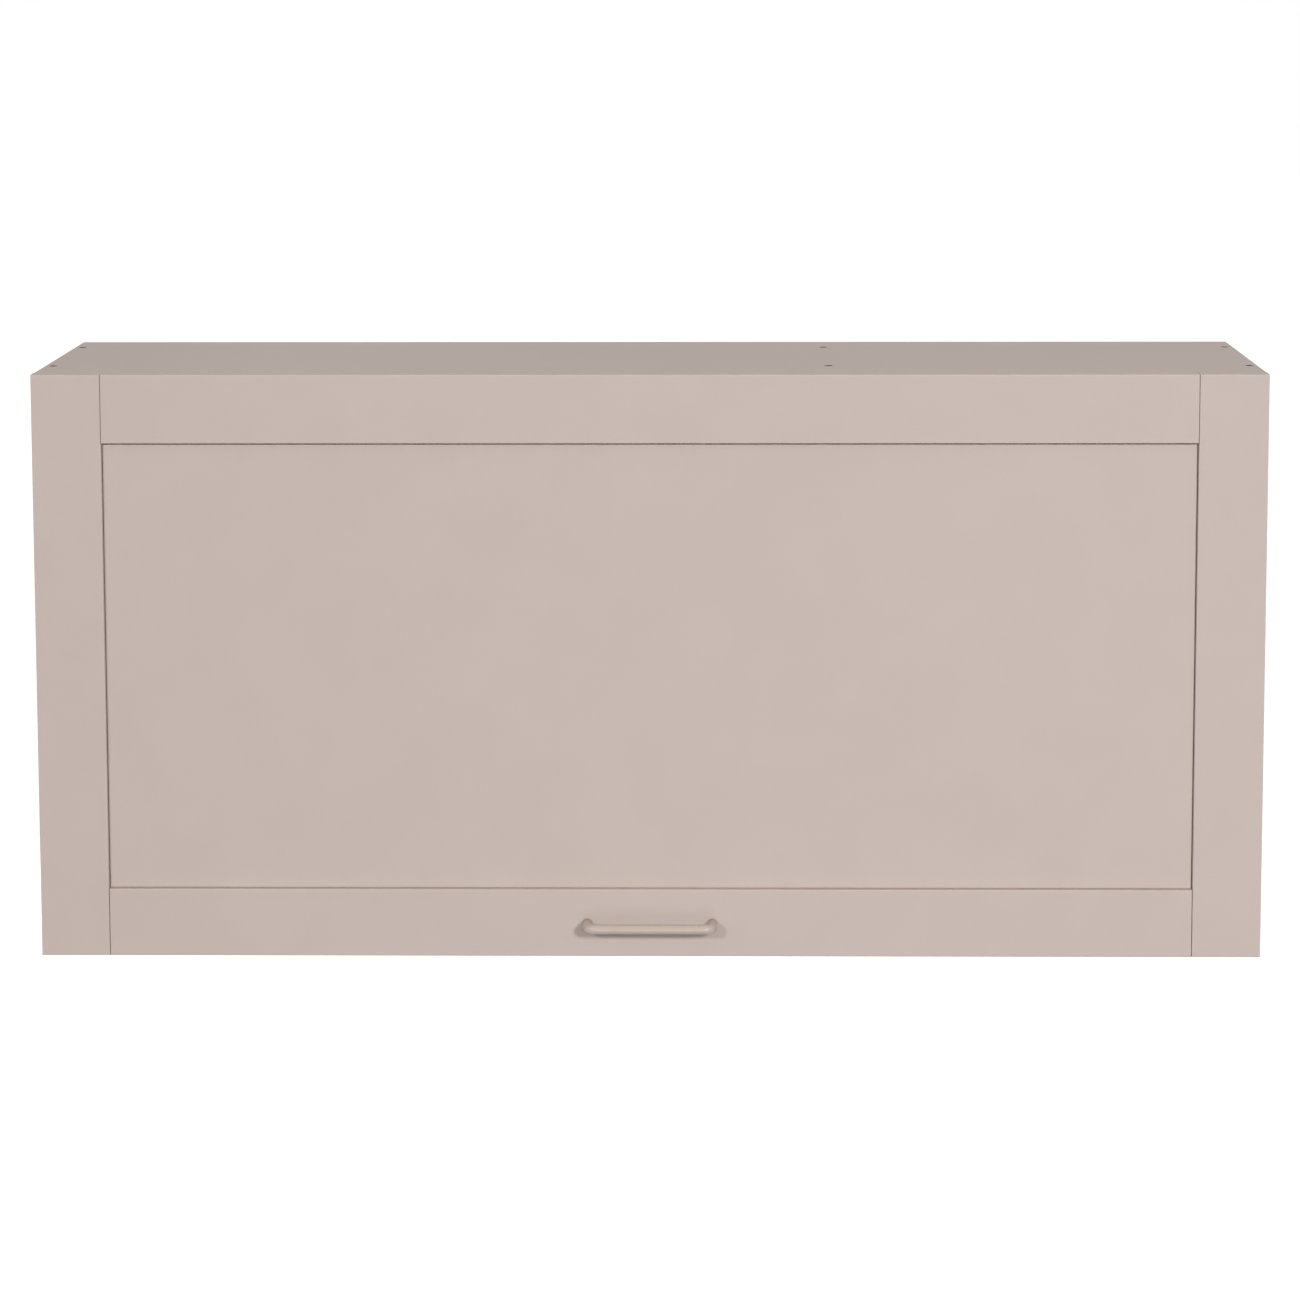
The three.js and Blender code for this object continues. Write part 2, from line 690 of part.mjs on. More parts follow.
// The handle's bar runs out from one foot, round a bend, across, and back to the other foot.
function makeHandle(flap) {
  const half = handleCentres / 2;
  const pull = bezierQuarter * handleBend;
  const point = (x, stand) => new THREE.Vector3(x, -stand, 0);
  const path = new THREE.CurvePath();
  path.add(new THREE.LineCurve3(point(-half, 0), point(-half, handleStand - handleBend)));
  path.add(
    new THREE.CubicBezierCurve3(
      point(-half, handleStand - handleBend),
      point(-half, handleStand - handleBend + pull),
      point(-half + handleBend - pull, handleStand),
      point(-half + handleBend, handleStand),
    ),
  );
  path.add(
    new THREE.LineCurve3(
      point(-half + handleBend, handleStand),
      point(half - handleBend, handleStand),
    ),
  );
  path.add(
    new THREE.CubicBezierCurve3(
      point(half - handleBend, handleStand),
      point(half - handleBend + pull, handleStand),
      point(half, handleStand - handleBend + pull),
      point(half, handleStand - handleBend),
    ),
  );
  path.add(new THREE.LineCurve3(point(half, handleStand - handleBend), point(half, 0)));

  const section = new THREE.Shape().absarc(0, 0, handleRadius, 0, 2 * Math.PI);
  const bar = new THREE.ExtrudeGeometry(section, {
    steps: handleSteps,
    curveSegments: roundSides / 2,
    extrudePath: path,
  });
  const bores = [-1, 1].map((sign) =>
    rodAlongY(flapFace - handleScrewReach - past, flapFace + past, handleScrewRadius + fit).translate(
      sign * half,
      0,
      handleZ,
    ),
  );
  addPiece(flap, "handle", handlePaint, [0, flapFace, handleZ], bar, { cut: bores });

  for (const [side, sign] of [["left", -1], ["right", 1]]) {
    const tip = flapFace - handleScrewReach;
    const screw = turnedAlongX([
      [tip, 0],
      [tip, handleScrewRadius],
      [flapBack, handleScrewRadius],
      [flapBack, panHeadRadius],
      [flapBack + panHead, panHeadRadius - panHeadEase],
      [flapBack + panHead, 0],
    ]).rotateZ(Math.PI / 2);
    addPiece(flap, `handle_screw_${side}`, zinc, [sign * half, 0, handleZ], screw);
  }
}

// Bush in the flap's end, and the bracket that the stay's link holds, on the flap's back.
function makeFlapFittings(flap, side, sign) {
  const half = addGroup(flap, 0, 0, 0);
  half.scale.x = sign;

  const bushLength = pinInFlap + bushEnd;
  const bush = rodAlongX(-bushLength, 0, 0, 0, pinRadius + fit + bushWall, pivotSides);
  const bore = rodAlongX(
    flapHalf - pinInFlap - fit,
    flapHalf + past,
    0,
    0,
    pinRadius + fit,
    pivotSides,
  );
  addPiece(half, `pivot_bush_${side}`, nylon, [flapHalf, 0, 0], bush, { cut: [bore] });

  const [pinY, pinZoffset] = bracketPin;
  const foot = facingFront(
    plate(rectangle(bracketWidth, bracketHeight, bracketCorner), bracketPlate, stripEase),
  );
  const footX = earOuter - bracketWidth / 2;
  const earShape = new THREE.Shape();
  earShape.moveTo(-bracketStand + bracketPlate - sink, -earFoot);
  earShape.absarc(0, 0, earRadius, -earShoulder, earShoulder);
  earShape.lineTo(-bracketStand + bracketPlate - sink, earFoot);
  const ear = facingSide(plate(earShape, earThickness)).translate(
    earOuter - earThickness,
    pinY,
    pinZoffset,
  );
  const pin = turnedAlongX([
    [earOuter - sink, 0],
    [earOuter - sink, rivetRadius],
    [linkOuter + running, rivetRadius],
    [linkOuter + running, rivetHeadRadius],
    [linkOuter + running + rivetHead, rivetHeadRadius],
    [linkOuter + running + rivetHead, 0],
  ]).translate(0, pinY, pinZoffset);
  addPiece(half, `flap_bracket_${side}`, zinc, [footX, flapBack + bracketPlate, pinZoffset], foot, {
    joined: [ear, pin],
  });
}

// ---------------------------------------------------------------- stops and hanging hardware

// Each bumper is a cap of a ball, flat on the board.
function makeBumpers(cabinet) {
  const ballRadius = (bumperRadius ** 2 + bumperHeight ** 2) / (2 * bumperHeight);
  const opening = Math.asin(bumperRadius / ballRadius);
  const profile = [];
  for (let i = 0; i <= bumperSteps; i += 1) {
    const angle = (opening * i) / bumperSteps;
    profile.push([ballRadius * (1 - Math.cos(angle)) - bumperHeight, ballRadius * Math.sin(angle)]);
  }
  profile.push([0, 0]);
  for (const [side, sign] of [["left", -1], ["right", 1]]) {
    const dome = turnedAlongX(profile).rotateZ(Math.PI / 2);
    const at = [sign * (flapHalf - bumperSpread), frameBackY + bumperRoom, board / 2];
    addPiece(cabinet, `bumper_${side}`, clearRubber, at, dome);
  }
}

function makeHangers(cabinet) {
  // A folded rail: its lower flange lies on the wall and its lip stands off for the hooks.
  const flangeBottom = railZ - railFlangeHeight / 2;
  const flangeTop = railZ + railFlangeHeight / 2;
  const section = outline([
    [0, flangeBottom],
    [0, flangeTop],
    [-railStandOff, lipFoot],
    [-railStandOff, lipTop],
    [-railStandOff - railSheet, lipTop],
    [-railStandOff - railSheet, lipFoot - railBend],
    [-railSheet, flangeTop - railBend],
    [-railSheet, flangeBottom],
  ].reverse());
  const railLength = 2 * (innerHalf - railEndGap);
  const rail = facingSide(plate(section, railLength));
  const slots = railSlots.map((x) =>
    facingFront(
      plate(
        rectangle(railSlotLength, railSlotWidth, railSlotWidth / 2),
        railSheet + 2 * past,
      ),
    ).translate(x, past, railZ),
  );
  addPiece(cabinet, "wall_rail", zinc, [-railLength / 2, 0, 0], rail, { cut: slots });

  // A hanger is screwed to the side board. Its hook passes the back panel's window and drops
  // behind the rail's lip.
  for (const [side, sign] of [["left", -1], ["right", 1]]) {
    const half = addGroup(cabinet, 0, 0, 0);
    half.scale.x = sign;
    const bodyBack = backPanelFront - running;
    const bodyTop = topInner - hangerDrop;
    const body = facingSide(
      plate(rectangle(hangerDepth, hangerHeight, hangerCorner), hangerWidth, hangerEase),
    );
    const underHook = lipTop + running;
    const overHook = underHook + hookThickness;
    const webFront = -railStandOff - railSheet - hookFrontRoom;
    const fingerFront = -railStandOff + hookBackRoom;
    const fingerBack = fingerFront + hookFinger;
    const hook = facingSide(
      plate(
        outline([
          [bodyBack - hookRoot, underHook - hookWeb],
          [webFront - hookSlope, underHook - hookWeb],
          [webFront, underHook],
          [fingerFront, underHook],
          [fingerFront, lipTop - hookGrip],
          [fingerBack, lipTop - hookGrip],
          [fingerBack, overHook, hookCorner],
          [bodyBack - hookRoot, overHook],
        ]),
        hookWidth,
      ),
    ).translate(innerHalf - (hangerWidth + hookWidth) / 2, 0, 0);
    const bodyFront = bodyBack - hangerDepth;
    const adjusters = [bodyTop - adjusterInset, bodyTop - hangerHeight + adjusterInset].map((z) =>
      rodAlongY(bodyFront - past, bodyFront + adjusterDepth, adjusterRadius).translate(
        innerHalf - hangerWidth / 2,
        0,
        z,
      ),
    );
    const at = [innerHalf - hangerWidth, bodyBack - hangerDepth / 2, bodyTop - hangerHeight / 2];
    addPiece(half, `hanger_${side}`, zinc, at, body, { joined: [hook], cut: adjusters });
  }
}

// ---------------------------------------------------------------- assembly

const cabinet = new THREE.Group();
cabinet.position.z = -railZ;
makeCarcass(cabinet);
makeFaceFrame(cabinet);
makeShelves(cabinet);
makeBumpers(cabinet);
makeHangers(cabinet);

const flap = addGroup(cabinet, 0, hingeY, hingeZ);
makeFlapBoards(flap);
makeHandle(flap);
for (const [side, sign] of [["left", -1], ["right", 1]]) {
  makeFlapFittings(flap, side, sign);
  makeStay(cabinet, side, sign);
}

export default cabinet;
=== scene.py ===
import json
from math import cos, hypot, pi, radians, sin

import bmesh
import bpy
from mathutils import Matrix, Vector


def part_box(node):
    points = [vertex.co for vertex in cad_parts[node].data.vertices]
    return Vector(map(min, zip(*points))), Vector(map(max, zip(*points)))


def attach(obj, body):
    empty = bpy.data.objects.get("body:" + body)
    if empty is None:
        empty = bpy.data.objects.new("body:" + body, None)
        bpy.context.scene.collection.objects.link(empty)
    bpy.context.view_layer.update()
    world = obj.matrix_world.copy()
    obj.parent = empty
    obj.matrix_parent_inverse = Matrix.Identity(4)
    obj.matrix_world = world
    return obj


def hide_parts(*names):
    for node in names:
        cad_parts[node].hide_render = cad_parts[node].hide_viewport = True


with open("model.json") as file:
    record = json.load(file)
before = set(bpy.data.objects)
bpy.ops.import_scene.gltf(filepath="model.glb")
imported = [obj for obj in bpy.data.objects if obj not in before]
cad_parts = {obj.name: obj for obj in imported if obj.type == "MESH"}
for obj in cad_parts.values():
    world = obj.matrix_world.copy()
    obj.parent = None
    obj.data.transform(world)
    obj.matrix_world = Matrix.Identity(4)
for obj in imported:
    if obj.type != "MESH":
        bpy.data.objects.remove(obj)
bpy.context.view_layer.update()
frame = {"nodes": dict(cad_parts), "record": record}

# ------------------------------------------------------------------ carcass boards
# The two sides, the top, the bottom and the divider are 18 mm board, sprayed all over with a
# satin greige lacquer. Their edges are eased by hand before the last coat, so the film is
# thinner and a little paler there, and the spray leaves a fine skin like orange peel.

GREIGE = (0.558, 0.471, 0.431, 1)
THIN_FILM = (1, 0.94, 0.88, 1)
CLOUD_TONE = (0.33, 0.27, 0.23, 1)
FLECK_TONE = (0.74, 0.66, 0.6, 1)
# The tone of the line at a glued joint: the film sunk into it, and painted shade of the groove
# between the eased edges.
JOINT_SHADE_TONE = (0.17, 0.13, 0.11, 1)
LACQUER_EDGE = 0.0016  # how far in from an edge the film is thin
LACQUER_PEEL = 620  # waves of the sprayed skin to the metre
LACQUER_RELIEF = (0.00004, 0.35)  # the skin's depth in metres, and its strength
LACQUER_SHINE = 0.08  # the specular level of the satin film
JOINT_HALF = 0.0006  # half the width of a glued joint's line
NO_JOINT = (0, 1, JOINT_HALF)  # a joint from 1 m up is above every board, so it marks none


def place(tree, kind, sockets=None, **settings):
    """A shader node of that kind, with its settings and what its sockets hold or are fed by."""
    made = tree.nodes.new("ShaderNode" + kind)
    for name, value in settings.items():
        setattr(made, name, value)
    for name, value in (sockets or {}).items():
        if isinstance(value, bpy.types.NodeSocket):
            tree.links.new(value, made.inputs[name])
        else:
            made.inputs[name].default_value = value
    return made


def maths(tree, operation, first, second=0.0, third=0.0):
    """What one Math node gives for two or three numbers or sockets."""
    return place(tree, "Math", {0: first, 1: second, 2: third}, operation=operation).outputs[0]


def noise(tree, at, scale, detail=2.0, roughness=0.5):
    """An even noise between 0 and 1 at those coordinates."""
    sockets = {"Vector": at, "Scale": scale, "Detail": detail, "Roughness": roughness}
    return place(tree, "TexNoise", sockets).outputs["Fac"]


def between(tree, value, low, high, new_low=0.0, new_high=1.0):
    """The value's course from low to high, held at both ends, as one from new_low to new_high."""
    sockets = {"Value": value, "From Min": low, "From Max": high}
    sockets.update({"To Min": new_low, "To Max": new_high})
    return place(tree, "MapRange", sockets).outputs["Result"]


def tinted(tree, colour, other, share):
    """A colour with a share of another one in it."""
    made = place(tree, "Mix", data_type="RGBA")
    for name, value in (("Factor_Float", share), ("A_Color", colour), ("B_Color", other)):
        socket = next(s for s in made.inputs if s.identifier == name)
        if isinstance(value, bpy.types.NodeSocket):
            tree.links.new(value, socket)
        else:
            socket.default_value = value
    return next(s for s in made.outputs if s.identifier == "Result_Color")


def effect(name, inputs, outputs):
    """An empty shader node group with those sockets, what it is given and what it gives."""
    group = bpy.data.node_groups.new(name, "ShaderNodeTree")
    for socket, kind in inputs:
        group.interface.new_socket(socket, in_out="INPUT", socket_type="NodeSocket" + kind)
    for socket, kind in outputs:
        group.interface.new_socket(socket, in_out="OUTPUT", socket_type="NodeSocket" + kind)
    given = group.nodes.new("NodeGroupInput").outputs
    return group, given, group.nodes.new("NodeGroupOutput").inputs


SURFACE = [("Color", "Color"), ("Roughness", "Float"), ("Height", "Float")]


def sprayed_lacquer():
    """Lacquer on a board whose lowest and highest corner are given."""
    wants = [("Color", "Color"), ("Lowest", "Vector"), ("Highest", "Vector")]
    wants += [(name, "Float") for name in ("Edge", "Peel", "Joint X", "Joint Z", "Joint Half")]
    tree, given, gives = effect("sprayed lacquer", wants, SURFACE)
    at = place(tree, "TexCoord").outputs["Object"]

    # The second smallest distance to the box's six planes is the distance to its nearest edge.
    from_low, from_high = {0: at, 1: given["Lowest"]}, {0: given["Highest"], 1: at}
    inward = place(tree, "VectorMath", from_low, operation="SUBTRACT").outputs[0]
    outward = place(tree, "VectorMath", from_high, operation="SUBTRACT").outputs[0]
    nearest = place(tree, "VectorMath", {0: inward, 1: outward}, operation="MINIMUM").outputs[0]
    x, y, z = place(tree, "SeparateXYZ", {0: nearest}).outputs
    larger = maths(tree, "MINIMUM", maths(tree, "MAXIMUM", x, y), z)
    to_edge = maths(tree, "MAXIMUM", maths(tree, "MINIMUM", x, y), larger)
    ragged = between(tree, noise(tree, at, scale=90, detail=3), 0.3, 0.7, 0.6, 1.2)
    thin = between(tree, to_edge, 0, maths(tree, "MULTIPLY", given["Edge"], ragged), 1, 0)

    clouds = noise(tree, at, scale=1.7)
    drift = noise(tree, at, scale=14, detail=4)
    nibs = between(tree, noise(tree, at, scale=260, detail=1), 0.735, 0.78)
    colour = tinted(tree, given["Color"], THIN_FILM, maths(tree, "MULTIPLY", thin, 0.10))
    colour = tinted(tree, colour, CLOUD_TONE, between(tree, clouds, 0.35, 0.65, 0.0, 0.035))
    colour = tinted(tree, colour, FLECK_TONE, between(tree, drift, 0.4, 0.62, 0.0, 0.05))

    # Where two boards are glued edge to edge, the film has sunk into a fine dark line, deepened as
    # painted shade of the groove between their eased edges.
    across, _, up = place(tree, "SeparateXYZ", {0: at}).outputs
    off_joint = maths(tree, "SUBTRACT", maths(tree, "ABSOLUTE", across), given["Joint X"])
    core = maths(tree, "MULTIPLY", given["Joint Half"], 0.5)
    line = between(tree, maths(tree, "ABSOLUTE", off_joint), core, given["Joint Half"], 1, 0)
    joint = maths(tree, "MULTIPLY", line, maths(tree, "GREATER_THAN", up, given["Joint Z"]))
    shadow = maths(tree, "MULTIPLY", joint, between(tree, drift, 0.3, 0.7, 0.55, 0.8))
    tree.links.new(tinted(tree, colour, JOINT_SHADE_TONE, shadow), gives["Color"])

    satin = between(tree, drift, 0.3, 0.7, 0.58, 0.66)
    rubbed = maths(tree, "ADD", satin, maths(tree, "MULTIPLY", thin, -0.07))
    rough = maths(tree, "ADD", rubbed, maths(tree, "MULTIPLY", nibs, 0.05))
    tree.links.new(rough, gives["Roughness"])

    skin = maths(tree, "MULTIPLY", noise(tree, at, given["Peel"], roughness=0.4), 0.8)
    rise = maths(tree, "ADD", skin, maths(tree, "MULTIPLY", nibs, 0.25))
    tree.links.new(maths(tree, "ADD", rise, maths(tree, "MULTIPLY", drift, 0.5)), gives["Height"])
    return tree


LACQUER = sprayed_lacquer()


def surface(name, group, values, bump, **sockets):
    """A material whose colour, gloss and fine relief come from a group, with its own values."""
    material = bpy.data.materials.new(name)
    material.use_nodes = True
    tree = material.node_tree
    tree.nodes.clear()
    pattern = place(tree, "Group", node_tree=group)
    for socket, value in values.items():
        pattern.inputs[socket].default_value = value
    depth, strength = bump
    height = {"Height": pattern.outputs["Height"], "Distance": depth, "Strength": strength}
    feeds = {"Base Color": pattern.outputs["Color"], "Roughness": pattern.outputs["Roughness"]}
    feeds["Normal"] = place(tree, "Bump", height).outputs["Normal"]
    shader = place(tree, "BsdfPrincipled", {**feeds, **sockets})
    place(tree, "OutputMaterial", {"Surface": shader.outputs["BSDF"]})
    return material


def coat(node, material):
    """Gives a piece of the frame its finish."""
    mesh = frame["nodes"][node].data
    mesh.materials.clear()
    mesh.materials.append(material)


def lacquered(node, joint=NO_JOINT):
    """Sprays one board, with a dark line of sunk film and painted groove shade at a joint given by
    its X, its lowest Z and half its width.
    """
    lowest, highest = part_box(node)
    values = {"Color": GREIGE, "Lowest": lowest, "Highest": highest}
    values.update({"Edge": LACQUER_EDGE, "Peel": LACQUER_PEEL})
    values.update(zip(("Joint X", "Joint Z", "Joint Half"), joint))
    shine = {"Specular IOR Level": LACQUER_SHINE}
    coat(node, surface("lacquer_" + node, LACQUER, values, LACQUER_RELIEF, **shine))


for node in ("side_left", "side_right", "top_board", "bottom_board", "divider"):
    lacquered(node)

# ------------------------------------------------------------------ back panel
# A sheet of 6 mm hardboard that slides in a groove of the outer boards, with a window at each
# end for the hangers' hooks. The face towards the shelves is lacquered. The side to the wall
# is left as it comes from the press, brown and fibrous.

HARDBOARD = (0.235, 0.135, 0.07, 1)
HARDBOARD_FIBRE = (0.40, 0.255, 0.145, 1)
HARDBOARD_CLOUD = (0.5, 0.33, 0.2, 1)
GREIGE_CLOUD = (0.36, 0.29, 0.25, 1)
BARE_FILM = 0.0002  # from the panel's back to where it is wholly bare
BARE_FADE = 0.0006  # over which the lacquer's overspray thins out
LONG_FIBRE = (120, 120, 420)  # waves to the metre along X, Y and Z
CROSS_FIBRE = (390, 120, 140)


def pressed_board():
    """Lacquer on the face towards the room, bare pressed fibre on the face to the wall."""
    wants = [("Color", "Color"), ("Fibre", "Color"), ("Bare", "Color"), ("Plane", "Float")]
    tree, given, gives = effect("pressed board", wants, SURFACE)
    at = place(tree, "TexCoord").outputs["Object"]
    y = place(tree, "SeparateXYZ", {0: at}).outputs[1]
    bare = between(tree, y, maths(tree, "SUBTRACT", given["Plane"], BARE_FADE), given["Plane"])
    spread = place(tree, "Mapping", {"Vector": at, "Scale": LONG_FIBRE}).outputs[0]
    slanted = {"Vector": at, "Scale": CROSS_FIBRE, "Rotation": (0, 0.6, 0)}
    across = place(tree, "Mapping", slanted).outputs[0]
    strands = [noise(tree, way, scale=1, detail=4, roughness=0.6) for way in (spread, across)]
    fibre = maths(tree, "MAXIMUM", *strands)
    streak = between(tree, fibre, 0.45, 0.75)
    cloud = noise(tree, at, scale=7, detail=3)
    brown = tinted(tree, given["Bare"], given["Fibre"], maths(tree, "MULTIPLY", streak, 0.8))
    brown = tinted(tree, brown, HARDBOARD_CLOUD, between(tree, cloud, 0.4, 0.7, 0.0, 0.3))
    patches = between(tree, cloud, 0.35, 0.65, 0.0, 0.06)
    greige = tinted(tree, given["Color"], GREIGE_CLOUD, patches)
    tree.links.new(tinted(tree, greige, brown, bare), gives["Color"])
    satin = between(tree, cloud, 0.3, 0.7, 0.58, 0.66)
    dull = between(tree, streak, 0, 1, 0.72, 0.88)
    mixed = maths(tree, "MULTIPLY_ADD", bare, maths(tree, "SUBTRACT", dull, satin), satin)
    tree.links.new(mixed, gives["Roughness"])
    rise = maths(tree, "MULTIPLY_ADD", bare, 0.75, 0.25)
    tree.links.new(maths(tree, "MULTIPLY", rise, fibre), gives["Height"])
    return tree


wall_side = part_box("back_panel")[1][1]
values = {"Color": GREIGE, "Bare": HARDBOARD, "Fibre": HARDBOARD_FIBRE}
values["Plane"] = wall_side - BARE_FILM
coat("back_panel", surface("painted_hardboard", pressed_board(), values, (0.00012, 0.5)))

# ------------------------------------------------------------------ carcass screws
# Twelve countersunk chipboard screws, phosphated nearly black, hold the top and the bottom to
# the sides and the divider. Each has a cross recess and a single thread on a slim core, and
# is driven until its head lies flush with the lacquer.

PHOSPHATE = (0.024, 0.019, 0.017, 1)
PHOSPHATE_BLOOM = (0.045, 0.037, 0.032, 1)
SCREW_HEAD_HEIGHT = 0.0026
SCREW_LIP = 0.0003  # the upright edge of a countersunk head
PAN_LIP = 0.0004
SCREW_SHANK = 0.0020
SCREW_CORE = 0.0015
SCREW_POINT = 0.00015
SCREW_TIP = 0.006
PLAIN_SHARE = 0.25  # of the length under the head, before the thread
CORE_STEP = 0.0006  # in which the shank narrows to the core
THREAD_START = 0.001  # below the shank's end
THREAD_PITCH = 0.0022
THREAD_HALF = 0.0005  # half its thickness at the root
THREAD_ROOT = 0.0002  # how deep its root lies in the core
THREAD_TURN = 14  # steps to one turn of the thread
RECESS_ARM = 0.14  # half the width of the cross's arms, as a share of the head's radius
RECESS_REACH = 0.55
RECESS_FLOOR = 0.62  # the cross's size at its floor, as a share of that at its mouth
RECESS_DEPTH = 0.0019
HEAD_SHOULDER = 0.8  # the last ring of faces inside the rim, as a share of the radius
DRIVER_TURN = (0.35, 2.1)  # radians to the metre along X and Y, so no two crosses match


def worn_metal():
    """Plated or phosphated steel: drawn lines, cloudy plating and dull spots."""
    wants = [("Color", "Color"), ("Bloom", "Color"), ("Lines", "Vector"), ("Gloss", "Float")]
    tree, given, gives = effect("worn metal", wants, SURFACE)
    at = place(tree, "TexCoord").outputs["Object"]
    along = {0: at, 1: given["Lines"]}
    drawn = place(tree, "VectorMath", along, operation="MULTIPLY").outputs[0]
    lines = noise(tree, drawn, scale=1, detail=3, roughness=0.6)
    bloom = noise(tree, at, scale=85, detail=4, roughness=0.6)
    spots = between(tree, noise(tree, at, scale=310), 0.62, 0.74)
    clouds = between(tree, bloom, 0.38, 0.66, 0.0, 0.55)
    clouded = tinted(tree, given["Color"], given["Bloom"], clouds)
    spotted = tinted(tree, clouded, given["Bloom"], maths(tree, "MULTIPLY", spots, 0.5))
    tree.links.new(spotted, gives["Color"])
    gloss = maths(tree, "ADD", given["Gloss"], between(tree, lines, 0.3, 0.7, -0.06, 0.08))
    tree.links.new(maths(tree, "MULTIPLY_ADD", spots, 0.12, gloss), gives["Roughness"])
    rise = maths(tree, "ADD", lines, maths(tree, "MULTIPLY", bloom, 0.4))
    tree.links.new(rise, gives["Height"])
    return tree


WORN_METAL = worn_metal()
values = {"Color": PHOSPHATE, "Bloom": PHOSPHATE_BLOOM, "Lines": (900, 900, 900), "Gloss": 0.72}
matt = {"Specular IOR Level": 0.0}
phosphated = surface("phosphated_steel", WORN_METAL, values, (0.00003, 0.4), **matt)


def pull(work, edges, radius, height):
    """Draws a ring of edges on to a new radius and height about Z, and returns the new ring."""
    drawn = bmesh.ops.extrude_edge_only(work, edges=edges)["geom"]
    for vert in (v for v in drawn if isinstance(v, bmesh.types.BMVert)):
        vert.co = Vector((*(vert.co.xy.normalized() * radius), height))
    return [e for e in drawn if isinstance(e, bmesh.types.BMEdge)]


def cross_head(work, radius, crown):
    """The top of a screw's head at z = 0, with its cross recess. Returns the rim's edges."""
    shares = (RECESS_ARM, RECESS_REACH, HEAD_SHOULDER, 1)
    lines = (*(-share for share in reversed(shares)), 0, *shares)
    bmesh.ops.create_grid(work, x_segments=8, y_segments=8, size=1)
    for vert in work.verts:
        x, y = (lines[round(4 * value) + 4] for value in vert.co.xy)
        square, reach = max(abs(x), abs(y)), hypot(x, y) or 1
        round_off = 1 + square**3 * (square / reach - 1)  # squares inside, a circle at the rim
        vert.co = (x * round_off * radius, y * round_off * radius, crown * (1 - square**2))
    rim = [e for e in work.edges if e.is_boundary]
    spare = 1.05 * radius
    arm, reach = RECESS_ARM * spare, RECESS_REACH * spare

    def in_cross(face):
        across, along = sorted(abs(value) for value in face.calc_center_median().xy)
        return across < arm and along < reach

    cross = [face for face in work.faces if in_cross(face)]
    sunk = bmesh.ops.extrude_face_region(work, geom=cross)["geom"]
    floor = [v for v in sunk if isinstance(v, bmesh.types.BMVert)]
    bmesh.ops.delete(work, geom=cross, context="FACES")
    bmesh.ops.scale(work, vec=(RECESS_FLOOR, RECESS_FLOOR, 1), verts=floor)
    bmesh.ops.translate(work, vec=(0, 0, -RECESS_DEPTH), verts=floor)
    return rim


def wood_screw(length, head_radius, crown=0.0, head=SCREW_HEAD_HEIGHT, countersunk=True):
    """A screw along -Z whose rim lies at z = 0."""
    work = bmesh.new()
    ring = cross_head(work, head_radius, crown)
    if countersunk:
        ring = pull(work, ring, head_radius * 0.97, -SCREW_LIP)
    else:
        ring = pull(work, ring, head_radius, -PAN_LIP)
        ring = pull(work, ring, head_radius * 0.96, -head)
    ring = pull(work, ring, SCREW_SHANK, -head)
    plain = head + PLAIN_SHARE * (length - head)
    ring = pull(work, ring, SCREW_SHANK, -plain)
    ring = pull(work, ring, SCREW_CORE, -plain - CORE_STEP)
    ring = pull(work, ring, SCREW_CORE, -length + SCREW_TIP)
    ring = pull(work, ring, SCREW_POINT, -length)
    bmesh.ops.contextual_create(work, geom=ring)

    start, end = -plain - THREAD_START, -length + SCREW_TIP
    turns = (start - end) / THREAD_PITCH
    steps = round(turns * THREAD_TURN)
    root = SCREW_CORE - THREAD_ROOT
    corners = [(root, -THREAD_HALF), (SCREW_SHANK, 0.0), (root, THREAD_HALF)]
    ridge = work.faces.new([work.verts.new((x, 0, start + z)) for x, z in corners])
    bmesh.ops.spin(
        work,
        geom=[ridge, *ridge.edges, *ridge.verts],
        cent=(0, 0, 0),
        axis=(0, 0, 1),
        dvec=(0, 0, (end - start) / steps),
        angle=2 * pi * turns,
        steps=steps,
    )
    return work


def face_outwards(work):
    """Turns the faces of each closed shell of the work outwards."""
    bmesh.ops.recalc_face_normals(work, faces=work.faces)
    work.normal_update()
    waiting = set(work.faces)
    while waiting:
        shell, reached = [], [waiting.pop()]
        while reached:
            shell.append(reached.pop())
            beside = {face for edge in shell[-1].edges for face in edge.link_faces} & waiting
            waiting -= beside
            reached.extend(beside)
        start = shell[0].verts[0].co
        volume = sum((f.calc_center_median() - start).dot(f.normal) * f.calc_area() for f in shell)
        if volume < 0:
            bmesh.ops.reverse_faces(work, faces=shell)


def in_order(work):
    """Numbers corners and faces by their place, because the operators leave no fixed order."""
    corners = sorted(work.verts, key=lambda vert: tuple(vert.co))
    faces = sorted(work.faces, key=lambda face: tuple(face.calc_center_median()))
    for ranked in (corners, faces):
        for number, element in enumerate(ranked):
            element.index = number
    work.verts.sort()
    work.faces.sort()


def piece(work, name, material, body, slot, *stands_for, sharp=35):
    """Makes a finished piece of the worked mesh, and says what it rides on and stands for."""
    face_outwards(work)
    in_order(work)
    mesh = bpy.data.meshes.new(name)
    work.to_mesh(mesh)
    work.free()
    mesh.shade_smooth()
    mesh.set_sharp_from_angle(angle=radians(sharp))
    mesh.materials.append(material)
    made = bpy.data.objects.new(name, mesh)
    bpy.context.scene.collection.objects.link(made)
    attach(made, body)
    if stands_for:
        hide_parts(*stands_for)


def corners_of(node):
    """The lowest and the highest corner of a node's box, and its middle."""
    lowest, highest = (Vector(corner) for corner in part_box(node))
    return lowest, highest, (lowest + highest) / 2


